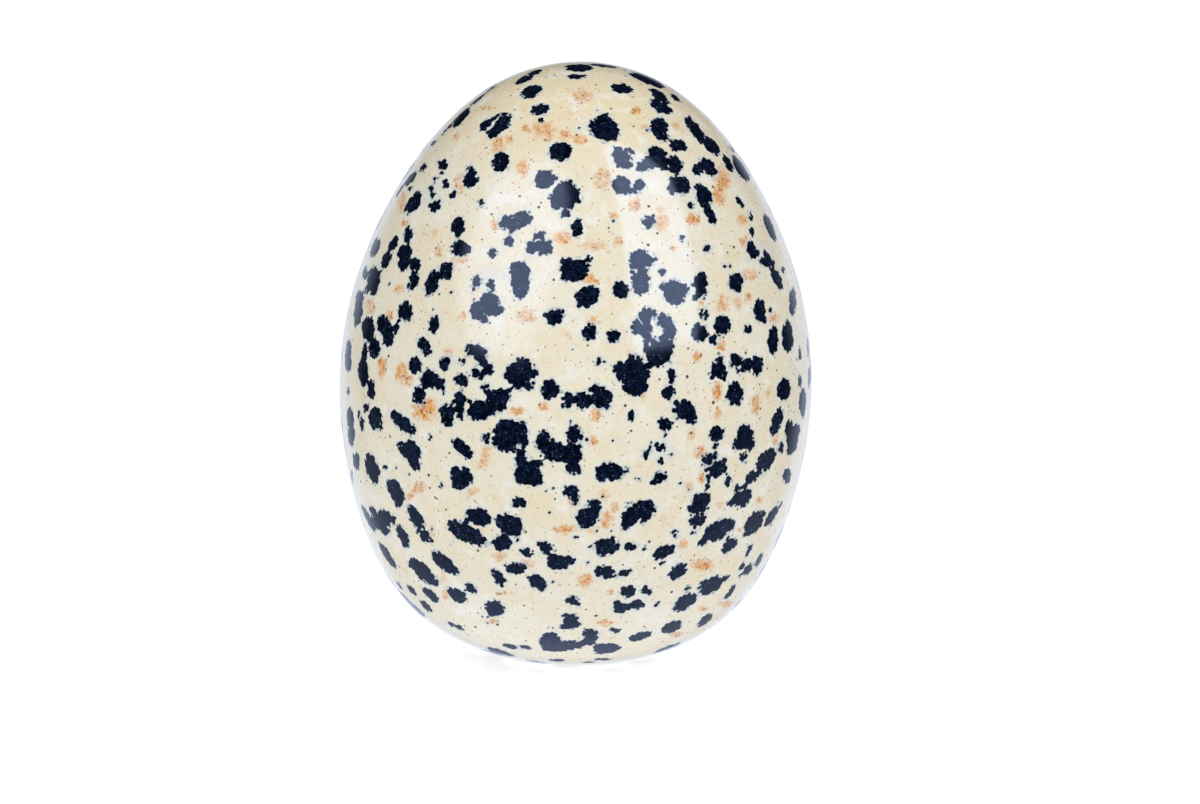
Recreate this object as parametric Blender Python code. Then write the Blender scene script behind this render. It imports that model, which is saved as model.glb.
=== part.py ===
"""Polished egg carved from spotted feldspar-quartz rock.

One solid piece of stone, turned to an egg's outline, which stands on a small
flat ground at its blunt end. Metres, +Z up, origin at the centre of that flat.
"""

import math

import bmesh
import bpy

# Driving dimensions, in metres
PARENT_LENGTH = 0.04728     # pole to pole, before the flat is ground
GREATEST_RADIUS = 0.0185
FLAT_RADIUS = 0.0050

# Taper of the outline along its axis: the factors of s, s^2, s^3 and s^4,
# where s runs from -1 at the blunt pole to +1 at the pointed one.
# The odd ones narrow the pointed end, the last one fills out both ends.
TAPER = (-0.077, -0.029, -0.118, 0.194)

# Fineness of the mesh
SEGMENTS = 80
RINGS = 48
SEARCH_STEPS = 2000
WELD_DISTANCE = 1e-6

# Finish
STONE_COLOUR = (0.72, 0.66, 0.53, 1.0)
STONE_ROUGHNESS = 0.08


def clear_scene():
    """Remove every object that the file starts with."""
    for thing in list(bpy.data.objects):
        bpy.data.objects.remove(thing, do_unlink=True)


def egg_shape(station):
    """Unscaled radius of the egg at a station from -1 to +1 along its axis."""
    taper = 1.0 + sum(factor * station ** power for power, factor in enumerate(TAPER, start=1))
    return math.sqrt(max(0.0, 1.0 - station * station)) * taper


def station_at(angle):
    """Station for an eccentric angle: 0 at the blunt pole, pi at the pointed one."""
    return -math.cos(angle)


def widest_angle():
    """Eccentric angle where the egg is widest."""
    angles = [math.pi * step / SEARCH_STEPS for step in range(SEARCH_STEPS + 1)]
    return max(angles, key=lambda angle: egg_shape(station_at(angle)))


def flat_angle(scale, widest):
    """Eccentric angle, below the widest place, where the radius is the flat's."""
    low, high = 0.0, widest
    for _ in range(60):
        middle = 0.5 * (low + high)
        if scale * egg_shape(station_at(middle)) < FLAT_RADIUS:
            low = middle
        else:
            high = middle
    return 0.5 * (low + high)


def egg_profile():
    """Points (radius, height) from the rim of the flat up to the pointed pole."""
    widest = widest_angle()
    scale = GREATEST_RADIUS / egg_shape(station_at(widest))
    start = flat_angle(scale, widest)
    lowest = station_at(start)
    points = []
    for ring in range(RINGS + 1):
        station = station_at(start + (math.pi - start) * ring / RINGS)
        height = 0.5 * PARENT_LENGTH * (station - lowest)
        points.append((scale * egg_shape(station), height))
    return points


def stone_material():
    """Cream stone with a high polish."""
    material = bpy.data.materials.new("polished stone")
    material.use_nodes = True
    shader = material.node_tree.nodes["Principled BSDF"]
    shader.inputs["Base Color"].default_value = STONE_COLOUR
    shader.inputs["Roughness"].default_value = STONE_ROUGHNESS
    shader.inputs["Metallic"].default_value = 0.0
    material.diffuse_color = STONE_COLOUR
    return material


def build_egg():
    """Spin the profile about +Z and close the flat under it with one face."""
    solid = bmesh.new()
    corners = [solid.verts.new((radius, 0.0, height)) for radius, height in egg_profile()]
    sides = [solid.edges.new(pair) for pair in zip(corners, corners[1:])]
    bmesh.ops.spin(
        solid,
        geom=corners + sides,
        cent=(0.0, 0.0, 0.0),
        axis=(0.0, 0.0, 1.0),
        angle=math.tau,
        steps=SEGMENTS,
        use_merge=True,
    )
    bmesh.ops.remove_doubles(solid, verts=solid.verts[:], dist=WELD_DISTANCE)
    bmesh.ops.holes_fill(solid, edges=solid.edges[:], sides=0)
    bmesh.ops.recalc_face_normals(solid, faces=solid.faces[:])

    mesh = bpy.data.meshes.new("egg")
    solid.to_mesh(mesh)
    solid.free()
    mesh.shade_smooth()
    mesh.materials.append(stone_material())
    egg = bpy.data.objects.new("egg", mesh)
    bpy.context.scene.collection.objects.link(egg)
    return egg


clear_scene()
build_egg()
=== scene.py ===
"""Polished spotted-stone egg: its fine surface, mineral pattern and studio."""
import math
import random

import bpy
import numpy as np
from mathutils import Matrix, Vector, noise
from mathutils.bvhtree import BVHTree
from mathutils.kdtree import KDTree


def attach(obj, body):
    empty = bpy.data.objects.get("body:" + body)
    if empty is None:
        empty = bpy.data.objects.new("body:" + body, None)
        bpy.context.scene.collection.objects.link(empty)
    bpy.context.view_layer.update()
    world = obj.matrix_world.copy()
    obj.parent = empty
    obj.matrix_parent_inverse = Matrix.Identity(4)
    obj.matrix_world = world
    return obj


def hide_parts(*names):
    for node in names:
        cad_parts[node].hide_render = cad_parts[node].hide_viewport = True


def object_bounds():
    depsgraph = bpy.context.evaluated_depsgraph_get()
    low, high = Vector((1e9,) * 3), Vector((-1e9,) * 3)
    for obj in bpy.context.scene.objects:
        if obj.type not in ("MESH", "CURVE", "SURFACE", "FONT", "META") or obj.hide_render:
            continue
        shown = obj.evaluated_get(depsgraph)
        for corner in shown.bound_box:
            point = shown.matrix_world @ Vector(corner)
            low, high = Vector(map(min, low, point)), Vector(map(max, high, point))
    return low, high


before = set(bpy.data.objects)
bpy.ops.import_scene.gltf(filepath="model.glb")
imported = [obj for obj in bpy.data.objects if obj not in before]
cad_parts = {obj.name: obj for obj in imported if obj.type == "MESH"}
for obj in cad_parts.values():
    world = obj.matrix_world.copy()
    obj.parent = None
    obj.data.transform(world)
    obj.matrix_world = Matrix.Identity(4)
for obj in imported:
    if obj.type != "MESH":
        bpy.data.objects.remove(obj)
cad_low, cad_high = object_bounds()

# The egg, in metres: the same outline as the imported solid
PARENT_LENGTH = 0.04728
GREATEST_RADIUS = 0.0185
FLAT_RADIUS = 0.0050
TAPER = (-0.077, -0.029, -0.118, 0.194)
SKIN_DEPTH = 0.000008  # how far the fine surface lies inside the solid's corners
WAVE_DEPTH = 0.000012  # slow unevenness left by hand polishing
WAVE_LENGTH = 0.0055
WAVE_CENTRE = 0.4 * PARENT_LENGTH  # height of the point that the unevenness sinks towards
SEGMENTS = 400
RINGS = 236
FLAT_RINGS = 12
SEARCH_STEPS = 2000  # fineness of the search for the widest place
HALVINGS = 60
MAP_HALF = 0.498  # half the side of the unfolded skin, on a square map of side 1

# The photograph's camera
PHOTO_WIDTH = 1200
PHOTO_HEIGHT = 804
AIM_PIXEL = (576.3, 359.7)  # where the middle of the egg's axis appears
FOCAL_PIXELS = 4401.0
SENSOR_WIDTH = 36.0
CLIP_START = 0.01
CAMERA_DISTANCE = 0.345
CAMERA_ELEVATION = math.radians(10.0)
CAMERA_ROLL = 0.029  # the egg's top leans right in the picture

# The pattern, in millimetres unless it says otherwise
MM = 0.001
READING_SHIFT = 0.3  # pixels from the readings down to the pixels' middles
INWARD_STEP = 0.996  # a reading that just misses the egg is drawn in by this factor,
INWARD_TRIES = 40  # so many times at most
GRAZING = 0.26  # least facing, so that spots at the rim don't grow too long
FIELD_REACH = 1.0  # the spots' distance field is level beyond this
SPOT_GROWTH = 0.11  # the edge lies this far outside the blobs that were read
LEAST_BULK = 0.2  # half-width from which a spot's outline grows uneven
BULK_REACH = 0.6  # how far outside its edge a broad spot still counts as broad
DOT_CALM = 0.4  # round a lone speck, the reach without ragged edges
LOBE_NEAR = 0.1  # a blob whose centre is nearer to a spot than this is a lobe of it
JOIN = 0.22  # how softly a lobe flows into the spot that it lies on
SOFT_FADE = 1.5  # stains and clouds end at this multiple of their half-size
SOFT_SEARCH = 0.6  # how far past its edge a soft blob's points are sought, in half-sizes

# The sides that the photograph doesn't show, filled by seeded draws, in millimetres too
SEED = 41
HIDDEN_FACING = 0.10  # places that face the camera less than this are filled
LARGEST_FACE = 0.08e-6  # m2, a little over the greatest face of the fine mesh
HIDDEN_SPOTS = 470
HIDDEN_TRIES = 20 * HIDDEN_SPOTS
SPOT_SIZES = (0.18, 0.64, 1.35)  # least, middle and greatest half-size
SPOT_SPREAD = 0.45  # of the half-sizes' logarithms
SPOT_GAPS = (-0.35, -0.1, 0.1, 0.25)  # between neighbours, which may overlap
SPOT_STRETCH = 1.3  # greatest factor by which one is drawn out
LOBED_FROM = 0.4  # half-size from which a spot can have lobes
LOBE_COUNTS = (0, 1, 1, 2, 3)
LOBE_SIZES = (0.35, 0.65)  # least and greatest, as shares of the spot's half-size
LOBE_STEPS = (0.7, 1.1)  # how far out a lobe lies, likewise
# Stains and clouds there: field, number, least and greatest half-size, greatest stretch
HIDDEN_SOFT = (("stains", 130, (0.25, 0.8), 1.5), ("clouds", 16, (0.5, 1.0), 1.4))

# Dark spots, read from the photograph in pixels: centre x, centre y, width along the tilt,
# height across it and, for a tilted one, the tilt in degrees (down to the right)
SPOTS_TOP = (
    (531, 91, 20, 12, -20), (535, 72, 13, 5, -15), (524, 79, 18, 6, -22), (540, 109, 17, 11, -15),
    (541, 120, 3, 5), (501, 121, 21, 16, -20), (495, 129, 21, 13, -45), (485, 124, 15, 7, -42),
    (461, 117, 25, 7, -48), (450, 126, 6, 3, -50), (444, 132, 5, 3, -50), (433, 143, 9, 3, -52),
    (478, 99, 18, 3, -38), (491, 89, 13, 2, -33), (560, 152, 22, 19), (501, 161, 17, 18),
    (497, 168, 9, 6), (471, 178, 14, 19), (470, 167, 6, 7), (443, 164, 11, 10),
    (423, 167, 8, 5, -55), (411, 178, 17, 6, -50), (400, 190, 16, 3, -55), (410, 188, 4, 3, -40),
    (446, 183, 6, 10), (441, 174, 4, 4), (435, 179, 3, 5), (453, 194, 6, 7),
    (431, 189, 5, 6), (433, 195, 5, 5), (435, 205, 15, 11, -50), (413, 203, 20, 12, -55),
    (418, 194, 6, 7), (408, 209, 6, 8), (481, 203, 6, 7), (544, 179, 20, 19),
    (552, 178, 9, 10), (564, 196, 29, 26), (568, 185, 14, 9), (576, 196, 9, 14), (555, 201, 8, 14),
    (564, 214, 10, 9), (507, 222, 15, 14), (523, 218, 18, 16), (514, 226, 14, 6),
    (509, 241, 9, 11), (540, 236, 12, 9), (532, 247, 12, 13), (547, 247, 11, 14),
    (539, 251, 9, 6), (540, 244, 10, 6), (493, 253, 8, 9), (458, 226, 12, 18),
    (461, 248, 19, 15), (408, 233, 8, 14), (407, 242, 4, 7), (393, 244, 16, 7, -66),
    (386, 259, 20, 8, -68), (404, 257, 14, 26), (408, 248, 7, 10), (415, 264, 11, 13), (414, 280, 9, 18),
    (409, 287, 6, 5), (446, 270, 14, 17), (432, 283, 26, 12, -72), (373, 280, 13, 28, 5),
    (368, 289, 6, 6), (375, 247, 20, 8, -70), (365, 273, 5, 13), (520, 280, 18, 38),
    (515, 270, 10, 14), (525, 271, 9, 13), (477, 281, 9, 11), (473, 287, 4, 8),
    (490, 284, 9, 8), (493, 290, 4, 7),
    (579, 67, 28, 7), (577, 76, 17, 5), (603, 65, 28, 4, 7), (648, 79, 39, 9, 22),
    (622, 88, 20, 10, 8), (659, 95, 21, 8, 38), (661, 107, 24, 11, 28),
    (666, 103, 8, 4), (676, 98, 12, 4, 35), (659, 126, 16, 18), (663, 137, 11, 8),
    (605, 130, 29, 22), (604, 120, 14, 14), (595, 125, 13, 12), (613, 133, 13, 13),
    (678, 145, 17, 11, 15), (695, 128, 25, 10, 52), (689, 119, 6, 6),
    (701, 137, 16, 9, 50), (711, 145, 23, 11, 50), (732, 149, 9, 3, 58), (728, 163, 18, 7, 60),
    (741, 168, 28, 9, 58), (709, 167, 21, 12, 50), (699, 168, 14, 10, -50), (703, 162, 7, 8),
    (622, 158, 18, 19), (617, 151, 10, 10), (630, 152, 8, 8), (629, 163, 9, 8),
    (657, 153, 19, 13, 20), (651, 162, 24, 13, -22), (640, 167, 8, 8), (663, 163, 14, 14),
    (675, 164, 15, 17), (622, 185, 18, 17), (632, 191, 12, 4), (639, 186, 12, 12),
    (613, 184, 5, 3), (679, 184, 20, 18), (672, 190, 8, 8), (685, 189, 8, 8),
    (704, 195, 19, 16, 52), (699, 188, 8, 7), (706, 206, 13, 8, 40), (710, 215, 19, 8, 65),
    (691, 205, 5, 5), (648, 222, 12, 12), (653, 218, 4, 6), (740, 202, 12, 4, 55),
    (751, 216, 3, 8), (752, 231, 4, 9), (770, 227, 28, 7, 68), (682, 238, 5, 5),
    (708, 248, 5, 5), (752, 250, 18, 9, 70), (764, 257, 18, 13, 45), (771, 263, 8, 8),
    (777, 278, 25, 8, 65), (783, 269, 3, 8), (577, 227, 11, 18), (574, 270, 28, 24),
    (565, 262, 10, 10), (588, 260, 9, 8), (641, 259, 23, 18),
    (652, 259, 8, 8), (641, 281, 18, 26), (634, 270, 6, 6), (675, 292, 24, 24),
    (667, 286, 9, 9), (685, 289, 8, 10), (701, 285, 13, 27), (695, 297, 6, 4),
    (694, 285, 4, 4), (620, 289, 13, 16), (626, 292, 5, 7), (586, 297, 22, 20),
    (594, 291, 9, 9), (580, 304, 8, 7), (736, 281, 15, 18), (737, 289, 8, 7),
    (793, 300, 7, 27), (723, 266, 4, 3), (663, 271, 4, 3),
)
SPOTS_MIDDLE = (
    (358, 309, 34, 8, -84), (359, 297, 8, 11), (368, 328, 12, 25), (374, 348, 11, 21),
    (365, 352, 6, 16), (383, 325, 13, 20), (388, 338, 11, 16), (396, 327, 6, 12),
    (392, 329, 6, 6), (405, 311, 14, 20), (348, 356, 7, 31), (363, 371, 10, 30),
    (371, 389, 8, 20), (348, 391, 3, 6), (434, 325, 11, 15), (437, 317, 5, 5),
    (425, 347, 20, 10, 62), (420, 341, 6, 6), (415, 365, 12, 17), (445, 363, 11, 11),
    (449, 358, 5, 5), (444, 369, 4, 4), (461, 361, 7, 7), (477, 351, 18, 12, 42),
    (469, 349, 6, 8), (485, 352, 5, 7), (487, 367, 16, 9, 55), (482, 359, 5, 5),
    (477, 373, 12, 9, 20), (462, 380, 15, 13), (429, 379, 18, 17), (424, 374, 8, 6),
    (440, 384, 13, 11, 20), (419, 394, 11, 17), (423, 401, 5, 6), (459, 399, 13, 15),
    (459, 409, 11, 12), (460, 415, 6, 4), (448, 415, 14, 21), (443, 410, 7, 10),
    (479, 410, 23, 20), (471, 403, 8, 8), (494, 413, 6, 4, -30), (498, 399, 22, 19),
    (507, 391, 7, 7), (487, 386, 6, 5), (488, 393, 7, 6), (499, 407, 12, 6),
    (520, 374, 28, 28), (533, 374, 8, 9), (509, 373, 9, 13), (530, 385, 8, 10), (524, 363, 18, 9, 15),
    (551, 389, 17, 18), (549, 396, 9, 6), (554, 317, 17, 15), (561, 311, 5, 5),
    (547, 313, 7, 8), (490, 303, 20, 21), (497, 309, 12, 11), (478, 310, 15, 18),
    (475, 301, 5, 4), (485, 319, 9, 8), (375, 418, 13, 22), (380, 426, 5, 7),
    (366, 408, 5, 8), (359, 414, 3, 8), (362, 424, 5, 12), (350, 418, 7, 20),
    (351, 435, 7, 20), (402, 422, 27, 12, 40), (394, 414, 8, 7), (413, 430, 5, 8),
    (410, 450, 22, 18, 50), (415, 461, 18, 11, 72), (400, 445, 5, 7), (430, 437, 3, 5),
    (462, 447, 18, 12, 48), (455, 442, 6, 7), (468, 454, 9, 9), (487, 438, 11, 9),
    (491, 440, 9, 6), (509, 433, 29, 30), (510, 447, 21, 10), (523, 435, 9, 25),
    (499, 444, 9, 8), (520, 454, 10, 14), (525, 459, 10, 7), (528, 473, 25, 26),
    (537, 479, 9, 11), (535, 464, 14, 10), (519, 468, 9, 12), (544, 438, 14, 15),
    (540, 444, 9, 15, -20), (551, 451, 25, 15, 30), (553, 444, 11, 8, 40), (559, 452, 16, 20),
    (574, 434, 14, 18), (583, 439, 10, 5, 40), (573, 453, 20, 20), (571, 466, 15, 13), (577, 471, 8, 5),
    (462, 478, 20, 21), (456, 469, 9, 9), (457, 485, 9, 8), (372, 468, 31, 13, 75),
    (356, 461, 7, 17), (385, 467, 4, 6), (396, 492, 28, 14, 65), (399, 504, 8, 5),
    (391, 485, 8, 9), (381, 520, 19, 20), (373, 511, 6, 10, -30), (386, 530, 9, 9, 40),
    (393, 519, 5, 10), (368, 518, 28, 5, 62), (402, 534, 20, 9, 60), (406, 544, 7, 6),
    (416, 518, 25, 12, 60), (411, 510, 7, 8), (424, 535, 13, 9, 65), (419, 530, 6, 4),
    (431, 540, 7, 3, 50), (441, 485, 4, 4), (520, 502, 13, 9, 20), (516, 503, 7, 8),
    (479, 516, 25, 16, 20), (468, 519, 7, 7), (509, 524, 29, 18, 20), (515, 532, 12, 7),
    (465, 532, 36, 16, 28), (454, 525, 12, 10), (476, 540, 24, 9, 12), (481, 541, 8, 5),
    (571, 491, 16, 14), (576, 499, 7, 10), (352, 476, 3, 14),
    (589, 332, 14, 17), (613, 336, 15, 12), (600, 361, 8, 7), (592, 359, 4, 2),
    (646, 317, 13, 19), (653, 313, 6, 6), (637, 327, 11, 13), (642, 332, 10, 7),
    (646, 330, 10, 16), (647, 341, 9, 9), (651, 339, 10, 5), (665, 322, 20, 13, 52),
    (670, 331, 13, 12), (668, 339, 13, 8), (659, 352, 26, 26), (669, 343, 10, 9),
    (663, 362, 14, 8), (650, 362, 8, 8), (703, 313, 11, 10), (700, 332, 15, 17),
    (706, 334, 6, 8), (713, 339, 9, 10), (722, 325, 15, 19), (748, 329, 8, 8),
    (760, 310, 11, 22), (764, 319, 6, 7), (770, 310, 2, 3), (773, 341, 10, 25),
    (775, 330, 5, 8), (788, 336, 11, 31), (800, 353, 3, 13), (808, 347, 3, 20),
    (809, 378, 3, 20), (632, 371, 30, 25), (617, 367, 7, 9), (643, 376, 12, 14),
    (635, 385, 24, 20), (632, 358, 12, 7), (671, 375, 9, 12), (668, 392, 13, 14),
    (718, 369, 14, 17), (720, 358, 6, 7), (711, 377, 6, 6), (724, 376, 7, 8),
    (736, 361, 11, 13), (747, 364, 14, 13), (757, 364, 11, 18), (740, 371, 7, 6),
    (757, 371, 9, 6), (733, 356, 6, 6), (735, 394, 16, 23), (729, 397, 6, 10),
    (784, 389, 13, 22), (800, 381, 3, 11), (803, 403, 7, 29), (602, 398, 22, 23),
    (594, 391, 8, 13), (611, 398, 7, 12), (569, 399, 11, 15), (566, 406, 7, 5),
    (583, 400, 15, 14), (576, 401, 9, 8), (590, 400, 8, 8), (586, 406, 8, 6), (685, 411, 20, 22),
    (692, 417, 8, 9), (676, 405, 8, 10), (690, 421, 11, 5), (666, 424, 12, 12), (661, 421, 4, 5),
    (631, 413, 4, 6), (631, 419, 4, 4), (716, 434, 13, 16), (721, 432, 6, 9),
    (715, 446, 3, 4), (745, 437, 18, 25), (739, 445, 11, 12), (752, 445, 6, 9),
    (744, 457, 7, 11), (777, 421, 28, 10, -72), (789, 429, 8, 18), (797, 430, 6, 13),
    (793, 440, 11, 24), (790, 450, 5, 8), (781, 447, 5, 10), (765, 461, 25, 15, -55),
    (771, 454, 10, 11), (759, 473, 7, 5), (751, 478, 17, 9, -52), (742, 497, 20, 14, -30),
    (733, 502, 12, 6, -20), (743, 504, 8, 5), (744, 487, 9, 4, -40), (737, 486, 3, 3),
    (610, 471, 29, 17, 5), (601, 477, 11, 7), (625, 470, 9, 5), (646, 453, 9, 7),
    (651, 445, 4, 6), (660, 446, 11, 8, 20), (661, 461, 5, 7), (660, 477, 15, 10, -20),
    (654, 482, 7, 4), (708, 459, 13, 10), (714, 455, 6, 7), (704, 463, 5, 5),
    (719, 468, 20, 14, -50), (708, 470, 6, 5), (728, 480, 6, 12), (709, 486, 6, 5),
    (709, 478, 4, 5), (700, 503, 23, 18, -50), (694, 509, 11, 8), (697, 521, 15, 12, -20),
    (703, 519, 6, 8), (646, 507, 19, 16), (638, 512, 18, 15), (630, 518, 18, 16, -35),
    (648, 516, 13, 5, -30), (629, 505, 6, 4), (626, 527, 8, 5, -30), (641, 522, 5, 4),
    (587, 517, 22, 19), (582, 525, 8, 5), (594, 504, 14, 8, 10), (598, 511, 5, 9),
    (718, 530, 32, 16, -36), (703, 542, 10, 6, -35), (730, 524, 10, 11), (754, 523, 25, 15, -60),
    (762, 513, 6, 6), (747, 534, 7, 6), (772, 516, 23, 7, -60), (674, 533, 6, 6),
    (787, 476, 8, 14), (638, 479, 5, 3), (681, 484, 3, 3), (736, 487, 3, 4),
    (785, 532, 2, 10, 30),
)
SPOTS_BOTTOM = (
    (387, 555, 30, 6, 58), (422, 571, 34, 13, 43), (412, 563, 9, 8), (434, 582, 9, 6),
    (444, 562, 28, 12, 42), (435, 555, 7, 9), (455, 571, 7, 7), (412, 590, 12, 4, 45),
    (431, 595, 20, 8, 42), (426, 606, 16, 5, 48), (457, 595, 19, 12, 22), (450, 590, 6, 6),
    (461, 600, 10, 5), (471, 588, 13, 8, 38), (494, 608, 17, 16), (501, 608, 5, 8),
    (459, 627, 10, 4, 35), (451, 624, 7, 3, 35), (499, 578, 14, 9, 50), (493, 571, 6, 5),
    (502, 583, 6, 6), (516, 568, 22, 10, 5), (538, 582, 17, 13, 10), (531, 578, 6, 6),
    (539, 588, 9, 5), (526, 552, 13, 8, 5), (546, 548, 12, 11, 20), (541, 544, 5, 6),
    (559, 562, 24, 14, -5), (554, 556, 12, 6), (571, 560, 8, 6), (502, 542, 18, 14),
    (501, 547, 11, 5), (450, 542, 5, 3, 20), (572, 600, 10, 10, 20), (577, 603, 6, 4, 20),
    (571, 621, 15, 15), (566, 627, 12, 5), (576, 624, 6, 7), (565, 614, 7, 4),
    (551, 642, 21, 18), (556, 648, 27, 7), (570, 645, 24, 9), (583, 642, 14, 6, -10),
    (591, 635, 15, 13), (590, 642, 10, 5), (510, 646, 14, 4, 15), (525, 647, 11, 4, 10),
    (500, 652, 27, 6, 17), (557, 660, 15, 3), (400, 586, 9, 2, 50), (607, 546, 23, 16),
    (611, 539, 8, 5), (598, 545, 8, 6), (602, 553, 7, 5), (630, 546, 13, 8, -5),
    (644, 548, 3, 4), (604, 571, 19, 11), (608, 575, 12, 6), (626, 572, 10, 6, -10),
    (622, 574, 5, 5), (664, 552, 22, 11, -25), (657, 556, 9, 6), (673, 547, 6, 7),
    (678, 571, 20, 12, -35), (673, 575, 7, 7), (693, 533, 5, 3, -30), (729, 546, 15, 10, -45),
    (735, 541, 5, 5), (749, 550, 13, 4, -65), (742, 566, 8, 4, -55), (748, 569, 13, 6, -52),
    (741, 575, 4, 3), (759, 560, 15, 4, -65), (712, 585, 26, 15, -35), (724, 578, 10, 5, -15),
    (701, 586, 6, 6), (730, 592, 17, 4, -55), (685, 602, 23, 13, -32), (694, 596, 7, 8),
    (679, 608, 9, 5), (628, 591, 14, 12), (647, 591, 9, 6, 10), (645, 587, 5, 4),
    (620, 607, 15, 11, 15), (616, 603, 7, 4), (637, 604, 16, 9, -8), (630, 607, 6, 4),
    (657, 604, 6, 3, -25), (615, 630, 10, 5), (607, 648, 27, 9), (603, 651, 18, 6),
    (672, 627, 21, 10, -25), (640, 636, 24, 7, -15), (705, 620, 18, 7, -40), (667, 648, 28, 5, -20),
    (603, 659, 14, 3), (588, 662, 11, 2), (688, 588, 5, 4, -20), (662, 563, 5, 3, -20),
)

# Lone dark specks, read the same way: centre x, centre y, width
DOTS = (
    (389, 284, 2), (439, 293, 2), (432, 308, 2), (388, 356, 2), (512, 232, 3), (573, 350, 2),
    (444, 396, 2), (482, 380, 2), (481, 386, 3), (613, 222, 3), (661, 274, 3), (659, 271, 2),
    (666, 272, 2), (660, 285, 3), (730, 266, 3), (761, 274, 1), (770, 310, 3), (703, 249, 2),
    (461, 420, 2), (553, 489, 3), (547, 492, 2), (549, 512, 3), (397, 469, 2), (410, 475, 2),
    (519, 540, 3), (432, 530, 2), (625, 406, 3), (611, 441, 3), (667, 435, 3), (672, 453, 3),
    (647, 459, 3), (689, 488, 2), (604, 497, 3), (596, 532, 3), (611, 530, 2), (727, 537, 3),
    (590, 548, 2), (781, 505, 2), (626, 76, 2), (631, 413, 3), (631, 418, 3),
    (457, 237, 3), (413, 401, 2), (451, 291, 3), (646, 130, 3), (597, 110, 2), (579, 127, 3),
    (576, 537, 3), (580, 538, 2), (587, 561, 3), (554, 582, 3), (596, 616, 3), (482, 616, 2),
    (489, 618, 2), (487, 623, 2), (498, 624, 3), (501, 593, 2), (572, 421, 2), (690, 205, 3),
)

# Pale seams that part some of the spots, read the same way as the spots
SEAMS = (
    (492, 124, 26, 3, -48), (434, 198, 14, 3, -60), (761, 250, 4, 18), (703, 312, 4, 4),
    (655, 319, 7, 10), (648, 364, 13, 3, 50), (512, 388, 16, 5, 45), (669, 141, 10, 2, -60),
    (676, 174, 14, 2), (459, 239, 14, 2),
)

# Rust stains, read the same way, without a tilt: centre x, centre y, width, height
STAINS = (
    (456, 136, 6, 8), (498, 146, 12, 18), (509, 140, 8, 9), (526, 128, 8, 6), (544, 130, 22, 18),
    (565, 135, 12, 10), (523, 168, 12, 16), (486, 108, 14, 5), (582, 95, 18, 15), (580, 139, 13, 9),
    (602, 178, 15, 17), (646, 129, 8, 8), (635, 110, 10, 7), (676, 126, 8, 8), (635, 204, 12, 15),
    (661, 222, 15, 14), (661, 209, 8, 8), (693, 219, 12, 13), (722, 178, 15, 22), (719, 196, 13, 16),
    (614, 216, 8, 7), (618, 241, 9, 9), (594, 246, 21, 10), (673, 248, 6, 6), (742, 219, 10, 10),
    (744, 241, 8, 10), (750, 274, 15, 10), (563, 237, 15, 11), (591, 280, 17, 10), (633, 289, 8, 10),
    (459, 184, 10, 18), (402, 202, 8, 20), (439, 251, 8, 12), (460, 259, 17, 7), (435, 233, 5, 6),
    (496, 224, 9, 10), (399, 289, 9, 9), (405, 222, 6, 8), (526, 316, 17, 14), (451, 292, 5, 5),
    (370, 306, 9, 15), (389, 316, 8, 10), (448, 352, 8, 7), (463, 316, 7, 7), (382, 366, 9, 20),
    (401, 373, 10, 18), (408, 381, 9, 10), (424, 409, 22, 21), (515, 411, 15, 8), (544, 405, 9, 8),
    (486, 452, 10, 17), (482, 464, 10, 8), (420, 487, 13, 10), (472, 491, 13, 8), (410, 496, 8, 8),
    (724, 302, 12, 15), (738, 302, 8, 12), (748, 297, 7, 12), (774, 318, 10, 10), (702, 302, 8, 6),
    (594, 321, 10, 9), (630, 353, 7, 6), (696, 356, 9, 10), (721, 345, 9, 9), (717, 391, 9, 18),
    (756, 404, 8, 18), (718, 414, 7, 12), (768, 393, 5, 8), (596, 416, 10, 13), (643, 394, 6, 12),
    (594, 440, 10, 7), (691, 434, 8, 9), (701, 452, 10, 13), (702, 477, 8, 11), (689, 487, 9, 9),
    (604, 496, 10, 12), (615, 507, 8, 9), (606, 519, 13, 15), (573, 502, 9, 10), (566, 529, 22, 8),
    (593, 529, 10, 8), (775, 439, 6, 10), (759, 500, 7, 6), (720, 504, 9, 6), (499, 555, 14, 10),
    (527, 564, 12, 9), (441, 578, 8, 12), (446, 594, 8, 10), (501, 593, 11, 4), (492, 621, 14, 5),
    (432, 531, 8, 10), (584, 580, 14, 14), (702, 565, 20, 11), (606, 623, 15, 6), (611, 592, 6, 5),
    (616, 576, 7, 6), (683, 544, 9, 7), (676, 634, 14, 6), (580, 646, 10, 5), (739, 530, 8, 7),
    (703, 608, 9, 5), (727, 604, 12, 6),
)

# Blue-white clouds beside some spots: centre x, centre y, width, height
CLOUDS = (
    (433, 190, 16, 20), (762, 252, 24, 22), (662, 452, 26, 22), (445, 362, 20, 16), (707, 247, 10, 10),
    (726, 267, 10, 8), (712, 464, 22, 24), (535, 255, 22, 10), (580, 128, 12, 8), (492, 116, 20, 8),
    (560, 312, 26, 8), (498, 272, 30, 12), (603, 361, 14, 10), (420, 200, 14, 14), (430, 352, 8, 8),
)


def srgb(red, green, blue):
    """A colour given in display values from 0 to 255, as linear light."""
    linear = []
    for value in (red, green, blue):
        share = value / 255.0
        linear.append(share / 12.92 if share <= 0.04045 else ((share + 0.055) / 1.055) ** 2.4)
    return (*linear, 1.0)


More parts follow.
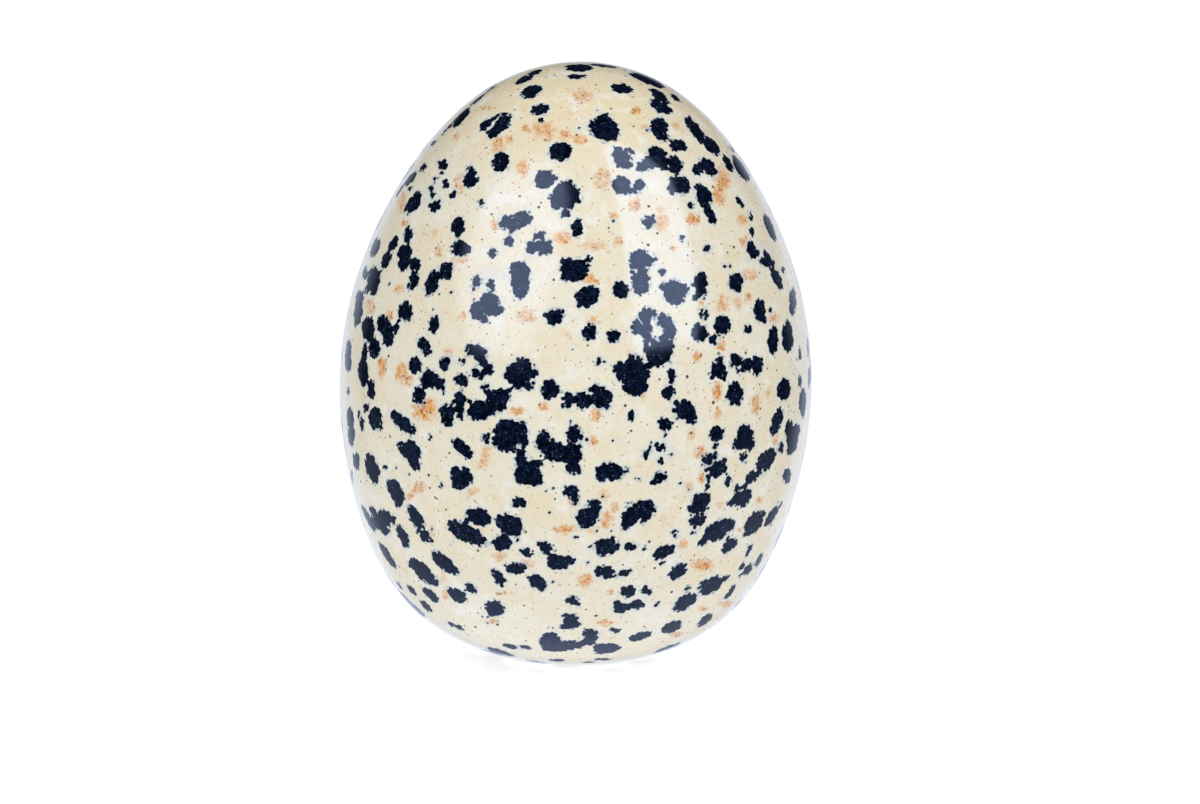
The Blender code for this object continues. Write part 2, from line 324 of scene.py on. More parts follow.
# Colours of the stone, in display values
CREAM = srgb(222, 217, 200)
YELLOW_CREAM = srgb(220, 207, 176)
WHITE_CREAM = srgb(225, 224, 216)
SAND = srgb(212, 190, 149)
GRAIN_CREAM = srgb(186, 172, 146)
PEACH = srgb(214, 156, 84)
RUST = srgb(187, 110, 36)
RED_BROWN = srgb(92, 46, 18)
SPECK = srgb(48, 32, 26)
DUST = srgb(168, 126, 88)
CLOUD = srgb(196, 204, 208)
PALE_HALO = srgb(206, 212, 206)
HALO = srgb(140, 154, 170)
DARK = srgb(0, 3, 13)
DARK_BLUE = srgb(17, 30, 58)
VEIN = srgb(40, 54, 82)
# painted glint: bright sparkle laid into the dark spots' colour
GLINT = srgb(110, 122, 146)
WHITE = (1.0, 1.0, 1.0, 1.0)

# The cream, in millimetres: the heights between which it turns yellower, and its mottling, one layer over
# the other, as colour, strength, size, the noise where it starts and is full, detail and roughness
CROWN = (36.0, 45.0)
YELLOW_PATCHES = 0.6
MOTTLING = (
    (WHITE_CREAM, 1.0, 1.9, 0.50, 0.70, 4.0, 0.60),
    (SAND, 0.20, 0.9, 0.54, 0.78, 4.0, 0.65),
    (SAND, 0.22, 0.45, 0.56, 0.70, 3.0, 0.60),
    (GRAIN_CREAM, 0.22, 0.22, 0.35, 0.75, 3.0, 0.70),
)

# Rust stains: how strongly noise breaks one up, the strength of the faint rust outside them, and their
# own strength: an even part, and what fine grains and larger patches add to it
STAIN_RAGGED = 3.2
STAIN_EDGE = (0.05, 1.0)
FAINT_STAIN = 0.34
RUST_EVEN = 0.20
RUST_GRAINS = 0.42
RUST_PATCHES = 0.46

# Tiny grains: the cell that can hold one, the draw from which it does, greatest radius and colour
SPECKS = (
    (0.85, 0.60, 0.165, SPECK),
    (0.48, 0.66, 0.105, SPECK),
    (0.34, 0.40, 0.085, DUST),
)
SPECK_SOFT = 0.015

# The dark spots' edges
UNEVENNESS = 0.6  # of a spot's outline, as a share of its half-width
EDGE_GRAINS = ((0.36, 1.25), (0.19, 0.60))  # rounded crystals that scallop the edge: size and depth
GRAIN_NOTCH = 0.37  # how far from a grain's centre the notch beside it starts, as a share of its size
GRAIN_BULGE = 0.05  # how far a grain stands out, likewise
EDGE_SOFT = 0.02
HALOS = (  # colour, strength, far and near side, then patches as in the mottling
    (PALE_HALO, 0.70, 0.45, 0.05, 1.3, 0.30, 0.60, 3.0),
    (HALO, 0.75, 0.16, 0.0, 0.7, 0.28, 0.55, 2.0),
)

# The polish
STONE_IOR = 1.63
COOL_GLOSS = (0.50, 0.64, 1.0, 1.0)
ROUGH_LEAST = 0.045
ROUGH_VARIES = 0.05
ROUGH_SPOTS = 0.03  # what a dark spot adds
SPOT_RELIEF = -0.35  # a dark spot's height, against the grain's
BUMP_STRENGTH = 0.10
BUMP_DEPTH = 0.00002

# The studio, in degrees from the egg: azimuth 0 is the camera's side and 90 the right of it.
# The sides of a softbox are tangents of the angle from its middle.
SOFTBOXES = (
    {"azimuth": 44, "elevation": 38, "left": -0.20, "right": 0.46, "low": -0.47, "high": 0.72,
     "corner": 0.85, "lean": 0.22, "soft": 0.03, "light": 2.95},
    {"azimuth": -40, "elevation": 36, "left": -0.52, "right": 0.34, "low": -0.48, "high": 0.55,
     "corner": 0.74, "lean": 0.0, "soft": 0.10, "light": 2.55},
)
BOX_AHEAD = (0.05, 0.15)  # keeps a softbox to its own side of the sky
ROOM_LIGHT = 0.01
FILL_LIGHT = 0.42  # even fill that the polish doesn't mirror
BACK_FILL = 0.40  # unmirrored light from the sides and behind
FLOOR_BOUNCE = 1.5  # what the pale floor sends up, strongest from straight below
FOOT_MIRRORED = 0.50  # the floor by the egg's foot, as the polish mirrors it
FOOT_FALLOFF = 3.0
ROUND_MIRRORED = 0.38  # the floor beside and behind the egg
SWEEP_LIGHT = 0.85  # the white sweep behind the egg
COOL_LOW = (0.80, 0.91, 1.12, 1.0)  # tint of what the polish mirrors from the sweep and the floor

# Where each light starts and is full: by height, from -1 straight below to 1 straight above,
SWEEP_TOP = (0.27, -0.03)
SWEEP_FOOT = (-0.62, -0.27)
FLOOR_BELOW = (-0.15, -0.95)
ROUND_BELOW = (-0.10, -0.50)
FILL_BELOW = (0.5, 0.0)
COOL_BELOW = (0.25, 0.05)
# and by depth, from -1 on the camera's side to 1 straight behind the egg
SWEEP_BEHIND = (0.55, 0.95)
ROUND_BEHIND = (-0.6, 0.3)
FILL_BEHIND = (-0.2, 0.6)

FLOOR_HALF = 4.0
FLOOR_TONE = (0.20, 0.20, 0.21, 1.0)
FLOOR_TONE_PALER = (0.22, 0.22, 0.23, 1.0)
FLOOR_GLOW = 0.85


def egg_shape(station):
    """Unscaled radius of the egg at a station from -1 (blunt pole) to +1 (pointed pole)."""
    taper = 1.0 + sum(factor * station ** power for power, factor in enumerate(TAPER, start=1))
    return math.sqrt(max(0.0, 1.0 - station * station)) * taper


def shape_at(angle):
    """Unscaled radius at an eccentric angle: 0 at the blunt pole, pi at the pointed one."""
    return egg_shape(-math.cos(angle))


def egg_profile(rings):
    """Points (radius, height) from the rim of the flat up to the pointed pole."""
    widest = max((math.pi * step / SEARCH_STEPS for step in range(SEARCH_STEPS)), key=shape_at)
    scale = (GREATEST_RADIUS - SKIN_DEPTH) / shape_at(widest)
    low, high = 0.0, widest
    for _ in range(HALVINGS):
        start = 0.5 * (low + high)
        if scale * shape_at(start) < FLAT_RADIUS:
            low = start
        else:
            high = start
    points = []
    for ring in range(rings + 1):
        station = -math.cos(start + (math.pi - start) * ring / rings)
        height = 0.5 * PARENT_LENGTH * (station + math.cos(start))
        points.append((scale * egg_shape(station), height))
    return points


def polished(point):
    """Sink a point of the wall by the slow unevenness of a hand polish."""
    outward = (point - Vector((0.0, 0.0, WAVE_CENTRE))).normalized()
    rise = 0.5 + 0.5 * noise.noise(point / WAVE_LENGTH)
    return point - outward * (WAVE_DEPTH * rise)


def egg_mesh():
    """Fine closed mesh of the egg: its flat, its wall and its pointed pole."""
    wall = egg_profile(RINGS)
    flat = [(FLAT_RADIUS * ring / FLAT_RINGS, 0.0) for ring in range(1, FLAT_RINGS)]
    rings = flat + wall[:-1]
    points = [Vector((0.0, 0.0, 0.0))]
    for index, (radius, height) in enumerate(rings):
        for segment in range(SEGMENTS):
            angle = math.tau * segment / SEGMENTS
            outward = Vector((math.cos(angle), math.sin(angle), 0.0))
            point = outward * radius + Vector((0.0, 0.0, height))
            points.append(polished(point) if index >= FLAT_RINGS else point)
    top = len(points)
    points.append(Vector((0.0, 0.0, wall[-1][1] - WAVE_DEPTH)))

    faces = []
    for segment in range(SEGMENTS):
        after = (segment + 1) % SEGMENTS
        faces.append((0, 1 + after, 1 + segment))
        for ring in range(len(rings) - 1):
            low = 1 + ring * SEGMENTS
            high = low + SEGMENTS
            faces.append((low + segment, low + after, high + after, high + segment))
        last = 1 + (len(rings) - 1) * SEGMENTS
        faces.append((last + segment, last + after, top))
    mesh = bpy.data.meshes.new("egg_skin")
    mesh.from_pydata(points, [], faces)
    mesh.shade_smooth()
    return mesh


def unfold(mesh):
    """Lay the egg's skin out on a square: an octahedron round its middle, opened at the flat."""
    corners = len(mesh.loops)
    points = np.empty(len(mesh.vertices) * 3)
    mesh.vertices.foreach_get("co", points)
    points = points.reshape(-1, 3) - (0.0, 0.0, 0.5 * PARENT_LENGTH)
    owner = np.empty(corners, dtype=np.int32)
    mesh.loops.foreach_get("vertex_index", owner)
    middles = np.empty(len(mesh.polygons) * 3)
    mesh.polygons.foreach_get("center", middles)
    sides = np.empty(len(mesh.polygons), dtype=np.int32)
    mesh.polygons.foreach_get("loop_total", sides)
    side = np.where(np.repeat(middles.reshape(-1, 3)[:, :2], sides, axis=0) < 0.0, -1.0, 1.0)

    rays = points[owner]
    rays /= np.abs(rays).sum(axis=1, keepdims=True)
    folded = (1.0 - np.abs(rays[:, 1::-1])) * side
    flat = np.where(rays[:, 2:] < 0.0, folded, rays[:, :2])
    places = mesh.uv_layers.new(name="OFBake")
    places.data.foreach_set("uv", (0.5 + MAP_HALF * flat).astype(np.float32).ravel())


class PhotoCamera:
    """The photograph's camera: its place, its axes, and the ray through a pixel."""

    def __init__(self, middle_height):
        sine, cosine = math.sin(CAMERA_ELEVATION), math.cos(CAMERA_ELEVATION)
        self.forward = Vector((0.0, cosine, -sine))
        level_up = Vector((0.0, sine, cosine))
        level_right = Vector((1.0, 0.0, 0.0))
        self.right = level_right * math.cos(CAMERA_ROLL) + level_up * math.sin(CAMERA_ROLL)
        self.up = level_up * math.cos(CAMERA_ROLL) - level_right * math.sin(CAMERA_ROLL)
        self.place = Vector((0.0, 0.0, middle_height)) - self.forward * CAMERA_DISTANCE

    def ray(self, x, y):
        """Direction from the camera through a pixel of the photograph."""
        across = x - AIM_PIXEL[0]
        down = y - AIM_PIXEL[1]
        return (self.forward * FOCAL_PIXELS + self.right * across - self.up * down).normalized()

    def make(self):
        """Add the camera, shifted only as far as the photograph's framing needs."""
        data = bpy.data.cameras.new("camera")
        data.sensor_width = SENSOR_WIDTH
        data.lens = FOCAL_PIXELS / PHOTO_WIDTH * SENSOR_WIDTH
        data.shift_x = (0.5 * PHOTO_WIDTH - AIM_PIXEL[0]) / PHOTO_WIDTH
        data.shift_y = (AIM_PIXEL[1] - 0.5 * PHOTO_HEIGHT) / PHOTO_WIDTH
        data.clip_start = CLIP_START
        camera = bpy.data.objects.new("camera", data)
        axes = Matrix((self.right, self.up, -self.forward)).transposed()
        camera.matrix_world = Matrix.Translation(self.place) @ axes.to_4x4()
        bpy.context.scene.collection.objects.link(camera)
        bpy.context.scene.camera = camera


class Pattern:
    """Fields painted on the egg's points: distance to the spots, rust stains and pale clouds."""

    def __init__(self, mesh, camera):
        count = len(mesh.vertices)
        places = np.empty(count * 3)
        mesh.vertices.foreach_get("co", places)
        self.places = places.reshape(count, 3) / MM
        self.camera = camera
        polygons = [tuple(face.vertices) for face in mesh.polygons]
        self.surface = BVHTree.FromPolygons([vertex.co for vertex in mesh.vertices], polygons)
        self.near = KDTree(count)
        for index, vertex in enumerate(mesh.vertices):
            self.near.insert(vertex.co / MM, index)
        self.near.balance()
        self.spots = np.full(count, FIELD_REACH)
        self.bulk = np.full(count, LEAST_BULK)
        self.stains = np.zeros(count)
        self.clouds = np.zeros(count)

    def landed(self, x, y):
        """Where the ray through a pixel meets the egg; one that just misses is drawn in to the rim."""
        inward = Vector((x - AIM_PIXEL[0], y - AIM_PIXEL[1]))
        for _ in range(INWARD_TRIES):
            ray = self.camera.ray(AIM_PIXEL[0] + inward.x, AIM_PIXEL[1] + inward.y)
            place, normal, _, _ = self.surface.ray_cast(self.camera.place, ray)
            if place is not None:
                return place, normal, ray
            inward *= INWARD_STEP
        raise ValueError(f"no surface under pixel {x}, {y}")

    def read_off(self, x, y, width, height, tilt=0.0):
        """A blob of the photograph as a place on the egg and two half-axes along its surface, in mm."""
        place, normal, ray = self.landed(x, y + READING_SHIFT)
        pixel = (place - self.camera.place).length / FOCAL_PIXELS
        turn = math.radians(tilt)
        halves = []
        for half, along, down in (
            (0.5 * width, math.cos(turn), math.sin(turn)),
            (0.5 * height, -math.sin(turn), math.cos(turn)),
        ):
            step = (self.camera.right * along - self.camera.up * down) * (half * pixel)
            facing = max(GRAZING, -ray.dot(normal))
            away = step.dot(normal) / facing
            halves.append((step + ray * away) / MM)
        return place / MM, normal, halves

    def measure(self, blob, reach):
        """Points near a blob, with their distance in its half-axes and in mm from its edge."""
        centre, normal, (first, second) = blob
        size = max(first.length, second.length)
        found = [hit[1] for hit in self.near.find_range(centre, size + reach)]
        if not found:
            return None
        index = np.array(found)
        basis = np.array((first, second, normal)).T
        inverse = np.linalg.inv(basis)
        steps = (self.places[index] - np.array(centre)) @ inverse.T
        steps[:, 2] = 0.0
        share = np.hypot(steps[:, 0], steps[:, 1])
        slope = np.linalg.norm(steps @ inverse, axis=1) / np.maximum(share, 1e-6)
        edge = (share - 1.0) / np.maximum(slope, 1e-6)
        smallest = min(first.length, second.length)
        return index, share, np.maximum(edge, -smallest)

    def add_spot(self, blob):
        """Join a dark spot to the distance field."""
        found = self.measure(blob, FIELD_REACH)
        if found:
            index, _, edge = found
            before = self.spots[index]
            joined = np.minimum(before, edge)
            if self.spots[self.near.find(blob[0])[1]] < LOBE_NEAR:
                joined = joined - np.maximum(JOIN - np.abs(before - edge), 0.0) ** 2 / (4.0 * JOIN)
            self.spots[index] = joined
            bulk = min(blob[2][0].length, blob[2][1].length) * np.clip(1.0 - edge / BULK_REACH, 0.0, 1.0)
            self.bulk[index] = np.maximum(self.bulk[index], bulk)

    def add_dot(self, blob):
        """Lay a lone speck on the mesh's nearest point, round and without the crystals' ragged edge."""
        centre, _, (half, _) = blob
        place, _, _ = self.near.find(centre)
        for _, index, away in self.near.find_range(place, FIELD_REACH):
            self.spots[index] = min(self.spots[index], away - half.length + SPOT_GROWTH)
            if away < DOT_CALM:
                self.bulk[index] = 0.0

    def cut_seam(self, blob):
        """Open a pale seam through the dark spots."""
        found = self.measure(blob, FIELD_REACH)
        if found:
            index, _, edge = found
            self.spots[index] = np.maximum(self.spots[index], -edge)

    def add_soft(self, field, blob):
        """Raise a soft field inside a blob, fading to nothing some way outside it."""
        found = self.measure(blob, SOFT_SEARCH * max(blob[2][0].length, blob[2][1].length))
        if found:
            index, share, _ = found
            value = np.clip(1.0 - (share / SOFT_FADE) ** 2, 0.0, 1.0)
            field[index] = np.maximum(field[index], value)

    def faces_camera(self, place, normal):
        """How squarely a place on the egg faces the photograph's camera."""
        return (self.camera.place - place).normalized().dot(normal)

    def write(self, mesh):
        """Store the fields on the mesh."""
        for name in ("spots", "bulk", "stains", "clouds"):
            values = getattr(self, name).astype(np.float32)
            mesh.attributes.new(name, "FLOAT", "POINT").data.foreach_set("value", values)


def add_landmarks(pattern):
    """Spots, stains and clouds where the photograph shows them."""
    for spot in SPOTS_TOP + SPOTS_MIDDLE + SPOTS_BOTTOM:
        pattern.add_spot(pattern.read_off(*spot))
    for x, y, width in DOTS:
        pattern.add_dot(pattern.read_off(x, y, width, width))
    for seam in SEAMS:
        pattern.cut_seam(pattern.read_off(*seam))
    for stain in STAINS:
        pattern.add_soft(pattern.stains, pattern.read_off(*stain))
    for cloud in CLOUDS:
        pattern.add_soft(pattern.clouds, pattern.read_off(*cloud))


def hidden_place(pattern, mesh, draw):
    """A random place, even over the area, on the side that the photograph doesn't show."""
    while True:
        face = mesh.polygons[draw.randrange(len(mesh.polygons))]
        if draw.random() * LARGEST_FACE > face.area:
            continue
        if pattern.faces_camera(face.center, face.normal) < HIDDEN_FACING:
            return face.center.copy(), face.normal.copy()


def random_blob(place, normal, draw, size, stretch):
    """A blob of a given half-size in mm, turned and stretched at random."""
    side = normal.orthogonal().normalized()
    turn = draw.uniform(0.0, math.tau)
    first = side * math.cos(turn) + normal.cross(side) * math.sin(turn)
    second = normal.cross(first)
    ratio = draw.uniform(1.0, stretch)
    return place / MM, normal, (first * size * ratio, second * size / ratio)


def scatter_spots(pattern, mesh, draw):
    """Carry the dark spots on over the sides, back and underside, with like sizes, gaps and lobes."""
    least, middle, greatest = SPOT_SIZES
    placed = []
    tries = 0
    while len(placed) < HIDDEN_SPOTS and tries < HIDDEN_TRIES:
        tries += 1
        place, normal = hidden_place(pattern, mesh, draw)
        size = min(greatest, max(least, draw.lognormvariate(math.log(middle), SPOT_SPREAD)))
        gap = draw.choice(SPOT_GAPS)
        if any((place / MM - other).length < size + reach + gap for other, reach in placed):
            continue
        if pattern.spots[pattern.near.find(place / MM)[1]] < size + gap:
            continue
        placed.append((place / MM, size))
        pattern.add_spot(random_blob(place, normal, draw, size, SPOT_STRETCH))
        for _ in range(draw.choice(LOBE_COUNTS) if size > LOBED_FROM else 0):
            lobe = random_blob(place, normal, draw, draw.uniform(*LOBE_SIZES) * size, SPOT_STRETCH)
            step = lobe[2][0].normalized() * (draw.uniform(*LOBE_STEPS) * size)
            pattern.add_spot((lobe[0] + step, lobe[1], lobe[2]))


def scatter_soft(pattern, mesh, draw):
    """Carry the stains and the clouds on over the hidden sides."""
    for name, count, sizes, stretch in HIDDEN_SOFT:
        for _ in range(count):
            place, normal = hidden_place(pattern, mesh, draw)
            blob = random_blob(place, normal, draw, draw.uniform(*sizes), stretch)
            pattern.add_soft(getattr(pattern, name), blob)


class Shader:
    """Short calls for the nodes of one material or world. Its noise and cells lie in the unit of place."""

    def __init__(self, tree):
        self.tree = tree
        self.place = None

    def node(self, kind, settings=(), **inputs):
        made = self.tree.nodes.new(kind)
        for name, value in dict(settings).items():
            setattr(made, name, value)
        self.fill(made, **inputs)
        return made

    def fill(self, node, **inputs):
        """Link or set a node's inputs; an underscore in a name stands for a space."""
        for name, value in inputs.items():
            self.feed(node.inputs[name.replace("_", " ")], value)

    def feed(self, socket, value):
        if isinstance(value, bpy.types.NodeSocket):
            self.tree.links.new(value, socket)
        else:
            socket.default_value = value

    def math(self, kind, *values):
        made = self.node("ShaderNodeMath", {"operation": kind})
        for socket, value in zip(made.inputs, values):
            self.feed(socket, value)
        return made.outputs[0]

    def times(self, first, *others):
        """The product of two or more values."""
        for other in others:
            first = self.math("MULTIPLY", first, other)
        return first

    def linear(self, value, factor, start):
        """A value times a factor, added to a start."""
        return self.math("MULTIPLY_ADD", value, factor, start)

    def dot(self, first, second):
        made = self.node("ShaderNodeVectorMath", {"operation": "DOT_PRODUCT"})
        self.feed(made.inputs[0], first)
        self.feed(made.inputs[1], second)
        return made.outputs["Value"]

    def ramp(self, value, low, high, smooth=True):
        """0 at low and 1 at high; low may be the greater."""
        settings = {"interpolation_type": "SMOOTHSTEP" if smooth else "LINEAR", "clamp": True}
        made = self.node("ShaderNodeMapRange", settings, Value=value, From_Min=low, From_Max=high)
        return made.outputs["Result"]

    def noise(self, size, detail=2.0, roughness=0.5):
        """Noise of a feature size, from 0 to 1."""
        inputs = {"Vector": self.place, "Scale": 1.0 / size, "Detail": detail, "Roughness": roughness}
        return self.node("ShaderNodeTexNoise", **inputs).outputs["Fac"]

    def patches(self, size, low, high, detail=2.0, roughness=0.5):
        """Soft patches: 0 where a noise of that size is below low, 1 where it is above high."""
        return self.ramp(self.noise(size, detail, roughness), low, high)

    def cells(self, size):
        """Distance to the nearest grain centre, and the grain's random colour."""
        made = self.node("ShaderNodeTexVoronoi", Vector=self.place, Scale=1.0 / size)
        return self.times(made.outputs["Distance"], size), made.outputs["Color"]

    def part(self, colour, index):
        return self.node("ShaderNodeSeparateColor", Color=colour).outputs[index]

    def mix(self, share, first, second):
        made = self.node("ShaderNodeMix", {"data_type": "RGBA"})
        for index, value in ((0, share), (6, first), (7, second)):
            self.feed(made.inputs[index], value)
        return made.outputs[2]

    def paint(self, ground, colour, share, strength):
        """Lay a colour over a ground, by a share of the surface and a strength."""
        return self.mix(self.times(share, strength), ground, colour)

    def field(self, name):
        return self.node("ShaderNodeAttribute", {"attribute_name": name}).outputs["Fac"]


def cream_ground(nodes):
    """Mottled feldspar: cream with yellow and whiter clouds and a fine grain."""
    crown = nodes.ramp(nodes.dot(nodes.place, (0.0, 0.0, 1.0)), *CROWN)
    patches = nodes.patches(size=4.2, low=0.36, high=0.66, detail=3.0)
    yellow = nodes.math("MAXIMUM", nodes.times(patches, YELLOW_PATCHES), crown)
    cream = nodes.mix(yellow, CREAM, YELLOW_CREAM)
    for colour, strength, *patch in MOTTLING:
        cream = nodes.paint(cream, colour, nodes.patches(*patch), strength)
    return cream


def add_stains(nodes, ground):
    """Rust patches broken into small soft grains, with a few red-brown ones in them."""
    stains = nodes.field("stains")
    ragged = nodes.math("SUBTRACT", nodes.noise(size=0.42, detail=5.0, roughness=0.7), 0.5)
    stain = nodes.math("ADD", stains, nodes.times(ragged, STAIN_RAGGED))
    faint = nodes.patches(size=1.3, low=0.58, high=0.74, detail=5.0, roughness=0.68)
    share = nodes.math("MAXIMUM", nodes.ramp(stain, *STAIN_EDGE), nodes.times(faint, FAINT_STAIN))
    share = nodes.times(share, nodes.ramp(nodes.math("ADD", stains, faint), low=0.0, high=0.35))
    grains = nodes.patches(size=0.16, low=0.30, high=0.62, roughness=0.6)
    strength = nodes.linear(grains, RUST_GRAINS, RUST_EVEN)
    strength = nodes.linear(nodes.patches(size=2.2, low=0.35, high=0.65), RUST_PATCHES, strength)
    rust = nodes.mix(nodes.patches(size=0.35, low=0.42, high=0.62, detail=3.0), PEACH, RUST)
    ground = nodes.paint(ground, rust, share, strength)

    centre, colour = nodes.cells(size=0.36)
    few = nodes.ramp(nodes.part(colour, 0), low=0.55, high=0.57, smooth=False)
    dots = nodes.times(few, share, nodes.ramp(centre, low=0.12, high=0.06))
    return nodes.paint(ground, RED_BROWN, dots, strength=0.75)


def add_clouds(nodes, ground):
    """Blue-white clouds, broken up by noise."""
    patches = nodes.patches(size=0.6, low=0.3, high=0.7, detail=4.0, roughness=0.7)
    return nodes.paint(ground, CLOUD, nodes.times(nodes.field("clouds"), patches), strength=0.75)


def add_specks(nodes, ground):
    """Tiny grains, thinly spread: two sizes of dark ones and a finer dust of rust."""
    for size, least, largest, colour in SPECKS:
        centre, random_colour = nodes.cells(size)
        chosen = nodes.ramp(nodes.part(random_colour, 1), least, 1.0, smooth=False)
        speck = nodes.ramp(nodes.linear(chosen, -largest, centre), 0.0, -SPECK_SOFT)
        ground = nodes.paint(ground, colour, speck, strength=0.9)
    return ground


def spot_edge(nodes):
    """Distance to the dark spots' edge in mm, uneven on broad spots and scalloped by round grains."""
    bulk = nodes.field("bulk")
    field = nodes.math("SUBTRACT", nodes.field("spots"), SPOT_GROWTH)
    uneven = nodes.math("SUBTRACT", nodes.noise(size=0.8, detail=1.0), 0.5)
    field = nodes.linear(uneven, nodes.times(bulk, UNEVENNESS), field)
    ragged = nodes.ramp(bulk, 0.0, LEAST_BULK)
    for size, depth in EDGE_GRAINS:
        grain, _ = nodes.cells(size)
        notch = nodes.math("SUBTRACT", grain, GRAIN_NOTCH * size)
        notch = nodes.math("MAXIMUM", notch, -GRAIN_BULGE * size)
        field = nodes.linear(notch, nodes.times(ragged, depth), field)
    return field


def add_halos(nodes, ground, edge):
    """Broken rings round the dark spots: a wide pale one and a thin blue-grey one."""
    for colour, strength, far, near, *patch in HALOS:
        ring = nodes.times(nodes.ramp(edge, far, near), nodes.patches(*patch))
        ground = nodes.paint(ground, colour, ring, strength)
    return ground


def dark_mineral(nodes):
    """Near-black blue mineral with fine paler seams and painted glints: a few bright specks of sparkle."""
    blue = nodes.patches(size=0.35, low=0.40, high=0.72, detail=4.0, roughness=0.7)
    tone = nodes.mix(blue, DARK, DARK_BLUE)
    winding = nodes.math("SUBTRACT", nodes.noise(size=0.40, roughness=0.6), 0.5)
    vein = nodes.ramp(nodes.math("ABSOLUTE", winding), low=0.022, high=0.0)
    tone = nodes.paint(tone, VEIN, vein, strength=0.32)
    # Painted glints: bright specks in the dark mineral's colour that stand in for sparkle
    centre, colour = nodes.cells(size=0.23)
    few = nodes.ramp(nodes.part(colour, 2), low=0.60, high=0.64, smooth=False)
    crowd = nodes.patches(size=2.0, low=0.38, high=0.58, detail=1.0)
    glint = nodes.times(few, crowd, nodes.ramp(centre, low=0.08, high=0.02))
    return nodes.paint(tone, GLINT, glint, strength=0.55)


def stone_finish():
    """High-polish spotted stone."""
    material = bpy.data.materials.new("spotted_stone")
    material.use_nodes = True
    nodes = Shader(material.node_tree)
    where = nodes.node("ShaderNodeTexCoord").outputs["Object"]
    in_mm = nodes.node("ShaderNodeVectorMath", {"operation": "SCALE"}, Vector=where, Scale=1.0 / MM)
    nodes.place = in_mm.outputs["Vector"]

    ground = add_stains(nodes, cream_ground(nodes))
    ground = add_clouds(nodes, ground)
    ground = add_specks(nodes, ground)
    edge = spot_edge(nodes)
    ground = add_halos(nodes, ground, edge)
    spot = nodes.ramp(edge, EDGE_SOFT, -EDGE_SOFT)
    rough = nodes.linear(nodes.noise(size=0.5, detail=3.0), ROUGH_VARIES, ROUGH_LEAST)
    height = nodes.linear(spot, SPOT_RELIEF, nodes.noise(size=0.3, detail=4.0, roughness=0.6))
    bump = nodes.node("ShaderNodeBump", Strength=BUMP_STRENGTH, Distance=BUMP_DEPTH, Height=height)
    nodes.fill(
        material.node_tree.nodes["Principled BSDF"],
        Base_Color=nodes.mix(spot, ground, dark_mineral(nodes)),
        Roughness=nodes.linear(spot, ROUGH_SPOTS, rough),
        IOR=STONE_IOR,
        Specular_Tint=COOL_GLOSS,
        Normal=bump.outputs["Normal"],
    )
    return material


def softbox(nodes, direction, box):
    """Light of a softbox far off: an eight-sided patch of sky with soft edges."""
    azimuth, elevation = math.radians(box["azimuth"]), math.radians(box["elevation"])
    towards = Vector((
        math.sin(azimuth) * math.cos(elevation),
        -math.cos(azimuth) * math.cos(elevation),
        math.sin(elevation),
    ))
    right = Vector((math.cos(azimuth), math.sin(azimuth), 0.0))
    ahead = nodes.dot(direction, towards)
    safe = nodes.math("MAXIMUM", ahead, 0.01)
    across = nodes.math("DIVIDE", nodes.dot(direction, right), safe)
    above = nodes.math("DIVIDE", nodes.dot(direction, towards.cross(right)), safe)
    leaning = nodes.linear(above, -box["lean"], across)
    corner = nodes.math("ADD", nodes.math("ABSOLUTE", across), nodes.math("ABSOLUTE", above))
    soft = box["soft"]
    edges = [nodes.ramp(value, box[side] - inward, box[side] + inward) for value, side, inward in (
        (leaning, "left", soft),
        (leaning, "right", -soft),
        (above, "low", soft),
        (above, "high", -soft),
        (corner, "corner", -soft),
    )]
    return nodes.times(*edges, nodes.ramp(ahead, *BOX_AHEAD), box["light"])


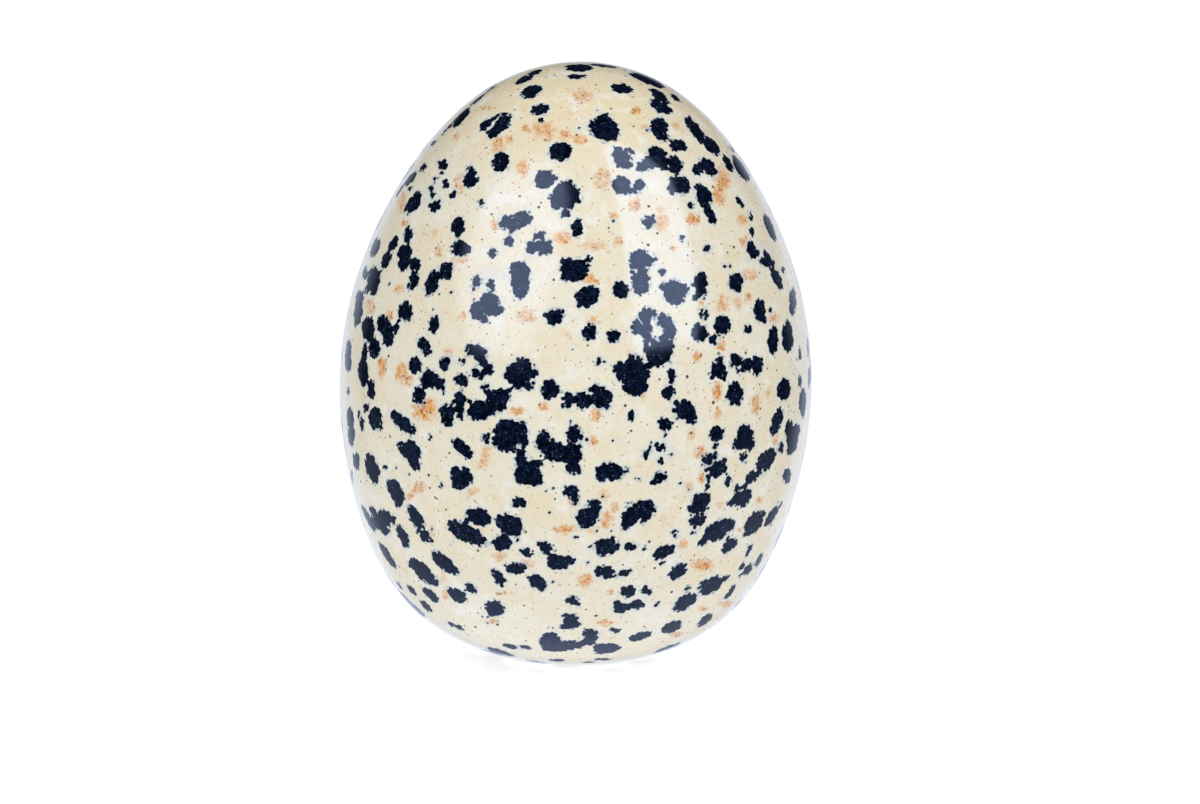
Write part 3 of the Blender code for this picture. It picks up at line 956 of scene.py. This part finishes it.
def studio_light():
    """Two front softboxes in a dim room, a white sweep behind, floor bounce and an even fill."""
    world = bpy.data.worlds.new("studio")
    bpy.context.scene.world = world
    world.use_nodes = True
    nodes = Shader(world.node_tree)
    direction = nodes.node("ShaderNodeTexCoord").outputs["Generated"]
    height = nodes.dot(direction, (0.0, 0.0, 1.0))
    behind = nodes.dot(direction, (0.0, 1.0, 0.0))
    sweep = nodes.times(nodes.ramp(height, *SWEEP_TOP), nodes.ramp(height, *SWEEP_FOOT))
    sweep = nodes.times(sweep, nodes.ramp(behind, *SWEEP_BEHIND))
    light = nodes.linear(sweep, SWEEP_LIGHT, ROOM_LIGHT)
    for box in SOFTBOXES:
        light = nodes.math("ADD", light, softbox(nodes, direction, box))

    path = nodes.node("ShaderNodeLightPath")
    mirrored = path.outputs["Is Glossy Ray"]
    unmirrored = nodes.math("SUBTRACT", 1.0, mirrored)
    below = nodes.ramp(height, *FLOOR_BELOW, smooth=False)
    beside = nodes.times(nodes.ramp(behind, *ROUND_BEHIND), nodes.ramp(height, *ROUND_BELOW))
    foot = nodes.times(nodes.math("POWER", below, FOOT_FALLOFF), FOOT_MIRRORED)
    seen = nodes.linear(beside, ROUND_MIRRORED, foot)
    light = nodes.linear(seen, mirrored, light)
    light = nodes.linear(below, nodes.times(unmirrored, FLOOR_BOUNCE), light)
    back = nodes.times(nodes.ramp(behind, *FILL_BEHIND), nodes.ramp(height, *FILL_BELOW))
    fill = nodes.linear(back, BACK_FILL, FILL_LIGHT)
    light = nodes.linear(unmirrored, fill, light)
    light = nodes.math("MAXIMUM", light, path.outputs["Is Camera Ray"])
    cool = nodes.times(mirrored, nodes.ramp(height, *COOL_BELOW))
    background = world.node_tree.nodes["Background"]
    nodes.fill(background, Strength=light, Color=nodes.mix(cool, WHITE, COOL_LOW))


def floor():
    """Plain pale floor; what it sends back to the egg is part of the studio's light."""
    mesh = bpy.data.meshes.new("floor")
    corners = [(x * FLOOR_HALF, y * FLOOR_HALF, 0.0) for x, y in ((-1, -1), (1, -1), (1, 1), (-1, 1))]
    mesh.from_pydata(corners, [], [(0, 1, 2, 3)])
    material = bpy.data.materials.new("floor")
    material.use_nodes = True
    nodes = Shader(material.node_tree)
    nodes.place = nodes.node("ShaderNodeTexCoord").outputs["Object"]
    nodes.fill(
        material.node_tree.nodes["Principled BSDF"],
        Base_Color=nodes.mix(nodes.noise(size=0.35), FLOOR_TONE, FLOOR_TONE_PALER),
        Roughness=1.0,
        Specular_IOR_Level=0.0,
        Emission_Color=WHITE,
        Emission_Strength=FLOOR_GLOW,
    )
    mesh.materials.append(material)
    sheet = bpy.data.objects.new("floor", mesh)
    sheet.visible_diffuse = False
    sheet.visible_glossy = False
    sheet.visible_shadow = False
    bpy.context.scene.collection.objects.link(sheet)


def dress_egg(camera):
    """The fine egg in place of the plain one."""
    mesh = egg_mesh()
    pattern = Pattern(mesh, camera)
    add_landmarks(pattern)
    draw = random.Random(SEED)
    scatter_spots(pattern, mesh, draw)
    scatter_soft(pattern, mesh, draw)
    pattern.write(mesh)
    unfold(mesh)
    mesh.materials.append(stone_finish())
    egg = bpy.data.objects.new("egg_skin", mesh)
    bpy.context.scene.collection.objects.link(egg)
    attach(egg, "root")
    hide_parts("egg")


view_camera = PhotoCamera(0.5 * (cad_low.z + cad_high.z))
view_camera.make()
dress_egg(view_camera)
floor()
studio_light()
bpy.context.scene.view_settings.view_transform = "Standard"
